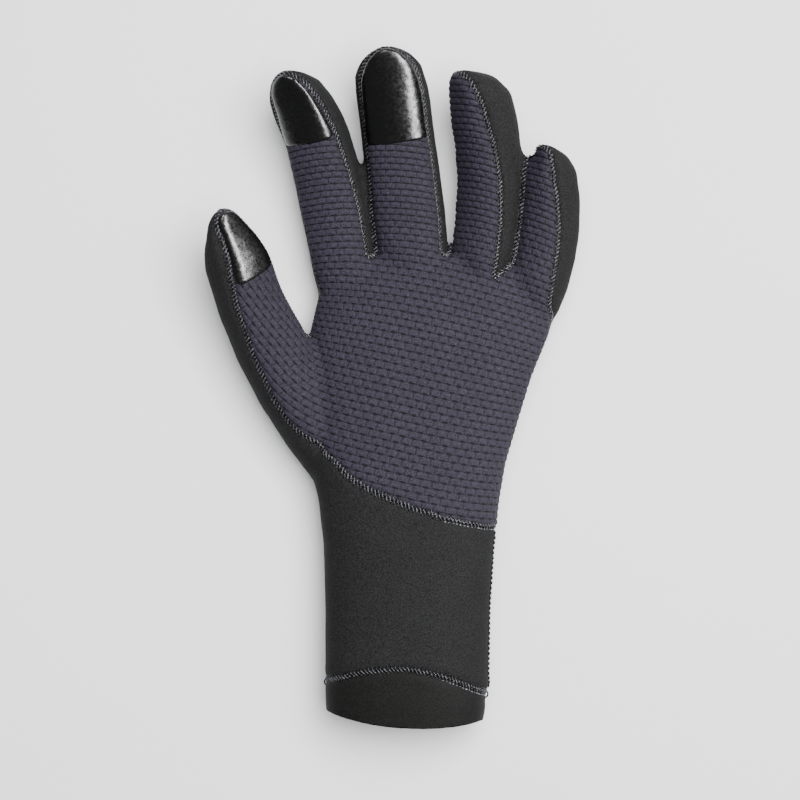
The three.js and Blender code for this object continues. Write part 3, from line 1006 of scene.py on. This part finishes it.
def knitMaterial():
    # Nylon knitted in raised bricks, glued to foam: gives the matt grey-violet face of the palm,
    # ruled in dark dashed rows
    shading = {
        "Roughness": 0.85,
        "Specular IOR Level": 0.12,
        "Sheen Weight": 0.05,
        "Sheen Roughness": 0.45,
        "Sheen Tint": linear("#b9b6cc"),
    }
    material, tree, shader = newMaterial("nylon_knit_laminated", shading)
    uv = addNode(tree, "ShaderNodeUVMap", uv_map="knit").outputs[0]
    parts = addNode(tree, "ShaderNodeSeparateXYZ", {0: uv})
    stretch = addNode(tree, "ShaderNodeAttribute", attribute_name="stretch").outputs["Fac"]
    place = objectPlace(tree)
    wobble = maths(tree, "SUBTRACT", noise(tree, place, 620), 0.5)  # the yarns aren't quite straight
    wobble = maths(tree, "MULTIPLY", wobble, 0.14)
    v = maths(tree, "ADD", parts.outputs[1], wobble)
    u = parts.outputs[0]
    line = maths(tree, "ROUND", v)
    across = maths(tree, "MULTIPLY", maths(tree, "SUBTRACT", v, line), knit["row"] / knit["dashHeight"])
    shift = maths(tree, "MULTIPLY_ADD", maths(tree, "FLOORED_MODULO", line, 2.0), 0.5, 0.5)
    turn = maths(tree, "SUBTRACT", u, shift)
    along = maths(tree, "SUBTRACT", turn, maths(tree, "ROUND", turn))
    longer = (knit["dashFinger"] - knit["dashPalm"]) / mm
    half = maths(tree, "MULTIPLY_ADD", stretch, longer, knit["dashPalm"] / mm)
    along = maths(tree, "DIVIDE", maths(tree, "MULTIPLY", along, knit["cell"] / mm), half)
    along = maths(tree, "POWER", maths(tree, "ABSOLUTE", along), 4.0)
    reach = maths(tree, "SQRT", maths(tree, "MULTIPLY_ADD", across, across, along))
    dash = ranged(tree, reach, 0.5, 1.3, 1.0, 0.0, "SMOOTHSTEP")
    rowLine = ranged(tree, maths(tree, "ABSOLUTE", across), 0.15, 1.05, 1.0, 0.0, "SMOOTHSTEP")
    lineShare = maths(tree, "MULTIPLY_ADD", stretch, knit["lineMore"], knit["lineShare"])
    rowLine = maths(tree, "MULTIPLY", rowLine, lineShare)
    level = maths(tree, "MULTIPLY", maths(tree, "FLOORED_MODULO", maths(tree, "FLOOR", v), 2.0), 0.5)
    joint = maths(tree, "SUBTRACT", u, level)
    joint = maths(tree, "SUBTRACT", joint, maths(tree, "ROUND", joint))
    joint = maths(tree, "MULTIPLY", maths(tree, "ABSOLUTE", joint), knit["cell"] / mm)
    joint = ranged(tree, joint, 0.05, 0.45, knit["jointShare"], 0.0, "SMOOTHSTEP")
    gap = maths(tree, "MAXIMUM", maths(tree, "MAXIMUM", dash, rowLine), joint)
    fine = noise(tree, place, 1650, 2.0, 0.7)  # yarn, about 0.6 mm
    broad = noise(tree, place, 60, 2.0)  # the dye isn't quite even
    yarn = blended(tree, ranged(tree, fine, 0.3, 0.74), linear(knit["low"]), linear(knit["high"]))
    yarn = blended(tree, maths(tree, "MULTIPLY", broad, 0.3), yarn, linear(knit["low"]))
    dark = maths(tree, "MULTIPLY", gap, knit["gapShare"])
    colour = blended(tree, dark, yarn, linear(knit["dark"]))
    tree.links.new(colour, shader.inputs["Base Color"])
    height = maths(tree, "SUBTRACT", maths(tree, "MULTIPLY", fine, 0.3), gap)
    bumped(tree, shader, height, 0.7, 0.35 * mm)
    return material


def jerseyMaterial(name, low, high, roughness, bumpSize):
    # Plain nylon jersey glued to foam: gives an even black with a fine grain, which a grazing
    # light lifts a little
    shading = {
        "Roughness": roughness,
        "Specular IOR Level": 0.06,
        "Sheen Weight": 0.02,
        "Sheen Roughness": 0.4,
        "Sheen Tint": linear("#c2c2c6"),
    }
    material, tree, shader = newMaterial(name, shading)
    place = objectPlace(tree)
    fine = noise(tree, place, 1750, 2.0, 0.7)  # loops of the jersey, drawn coarser at 0.6 mm
    broad = noise(tree, place, 45, 2.0)
    tone = ranged(tree, fine, 0.3, 0.74)
    colour = blended(tree, tone, linear(low), linear(high))
    colour = blended(tree, maths(tree, "MULTIPLY", broad, 0.3), colour, linear(low))
    tree.links.new(colour, shader.inputs["Base Color"])
    bumped(tree, shader, fine, 0.5, bumpSize)
    return material


def filmMaterial():
    # Rubber poured thin over the knit: gives the deep black fingertips with one soft streak of
    # light, broken up by crinkles
    material, tree, shader = newMaterial("rubber_film", {"Specular IOR Level": 0.4})
    place = objectPlace(tree)
    fine = noise(tree, place, 800, 3.0, 0.6)  # crinkles of 1.3 mm
    broad = noise(tree, place, 150, 2.0, 0.5)
    height = maths(tree, "ADD", maths(tree, "MULTIPLY", fine, 0.8), broad)
    colour = blended(tree, broad, linear(film["low"]), linear(film["high"]))
    tree.links.new(colour, shader.inputs["Base Color"])
    tree.links.new(ranged(tree, fine, 0.3, 0.7, 0.2, 0.36), shader.inputs["Roughness"])
    bumped(tree, shader, height, 0.5, 0.18 * mm)
    return material


def threadMaterial(name, low, high):
    # Twisted polyester thread: gives thin strands that glint where they arch
    shading = {"Roughness": 0.34, "Specular IOR Level": 0.18}
    material, tree, shader = newMaterial(name, shading)
    place = objectPlace(tree)
    fine = noise(tree, place, 1500, 1.0)  # plies of 0.7 mm
    tone = ranged(tree, fine, 0.42, 0.62)
    tree.links.new(blended(tree, tone, linear(low), linear(high)), shader.inputs["Base Color"])
    return material


materials = {
    "knit": knitMaterial(),
    "jersey": jerseyMaterial("nylon_jersey_laminated", "#0a0a0a", "#2d2d2e", 0.8, 0.15 * mm),
    # Foam with its moulded skin left on: a little browner, darker and smoother than the jersey
    "band": jerseyMaterial("smooth_skin_foam", "#080808", "#212120", 0.7, 0.12 * mm),
    "film": filmMaterial(),
    "thread": threadMaterial("polyester_thread", "#0c0c0d", "#545459"),  # grey zigzag
    "paintedGlint": threadMaterial("needle_thread_painted_glint", "#3a3a3d", "#909094"),  # light dots: painted highlight on the black needle thread
    "needle": threadMaterial("black_needle_thread", "#020202", "#0a0a0b"),  # dark dots
    "bound": threadMaterial("bound_edge", "#040404", "#0e0e0f"),  # the dark line under the zigzag
}
print("Materials made", len(materials))

pieceTable = [
    (palmPiece, "knit", "palm_knit", ["palm_panel"]),
    (backPiece, "jersey", "back_jersey", ["back_panel"]),
    (bandPiece, "band", "band_jersey", ["cuff_band"]),
    *[(piece, "film", "tip_coating", [f"{tip}_patch"]) for tip, piece in zip(tips, filmPieces)],
    (overlockPiece, "thread", "back_jersey", []),
    (corePiece, "bound", "back_jersey", []),
    (needlePiece, "needle", "back_jersey", []),
    (paintedGlintPiece, "paintedGlint", "back_jersey", []),
    (sidePiece, "needle", "back_jersey", []),
    (bandStrandPiece, "thread", "band_jersey", []),
    (bandCorePiece, "bound", "band_jersey", []),
]
for piece, finish, slot, replaced in pieceTable:
    piece.data.materials.append(materials[finish])
    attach(piece, "root")
    if replaced:
        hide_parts(*replaced)
print("Pieces dressed", len(pieceTable))

# Studio
studio = {
    "cameraAt": (2.65 * mm, -4.27 * mm, 1.12),  # over the middle of the photograph
    "viewWidth": 0.34,  # metres across, at the height of the palm
    "palmHeight": 0.02,
    "key": {"at": (0.24, 0.2, 1.2), "size": 0.8, "power": 43},
    "strip": {"at": (0.46, 0.12, 0.55), "size": 0.9, "length": 0.14, "power": 32},
    "top": {"at": (-0.12, 0.8, 0.7), "size": 0.2, "power": 7},
    "aim": (0.0, 0.0, 0.02),  # all the lights look here
    "floor": "#f1f1f2",
    "paper": "#f6f6f7",  # the floor's lighter flecks
    "floorDrop": -0.05 * mm,
    "sky": "#f4f6fa",
    "skyPower": 0.28,
    "sensor": 36,  # mm
}


def softLight(name, at, size, power, length=None):
    lamp = bpy.data.lights.new(name, "AREA")
    lamp.size = size
    if length:
        lamp.shape = "RECTANGLE"
        lamp.size_y = length
    lamp.energy = power
    obj = newObject(name, lamp)
    obj.location = at
    aim = Vector(studio["aim"]) - Vector(at)
    obj.rotation_euler = aim.to_track_quat("-Z", "Y").to_euler()
    return obj


keyLight = softLight("key_softbox", **studio["key"])
keyLight.visible_glossy = False  # kept out of the films, which mirror only the next two
for name in ("strip", "top"):
    softLight(name + "_light", **studio[name]).visible_diffuse = False

floorMesh = bpy.data.meshes.new("floor")
floorMesh.from_pydata([(-3, -3, 0), (3, -3, 0), (3, 3, 0), (-3, 3, 0)], [], [(0, 1, 2, 3)])
floor = newObject("floor", floorMesh)
floor.location.z = studio["floorDrop"]
floorMaterial, floorTree, floorShader = newMaterial("pale_paper", {"Roughness": 0.9})
paper = addNode(floorTree, "ShaderNodeTexNoise", None, {"Scale": 40.0})
paperColour = blended(floorTree, paper.outputs[0], linear(studio["floor"]), linear(studio["paper"]))
floorTree.links.new(paperColour, floorShader.inputs["Base Color"])
floorMesh.materials.append(floorMaterial)

world = bpy.data.worlds.new("studio")
world.use_nodes = True
background = world.node_tree.nodes["Background"]
background.inputs[0].default_value = linear(studio["sky"])
background.inputs[1].default_value = studio["skyPower"]
bpy.context.scene.world = world

cameraData = bpy.data.cameras.new("camera")
cameraData.sensor_width = studio["sensor"]
distance = studio["cameraAt"][2] - studio["palmHeight"]
cameraData.lens = studio["sensor"] * distance / studio["viewWidth"]
camera = newObject("camera", cameraData)
camera.location = studio["cameraAt"]
bpy.context.scene.camera = camera
print("Studio set")
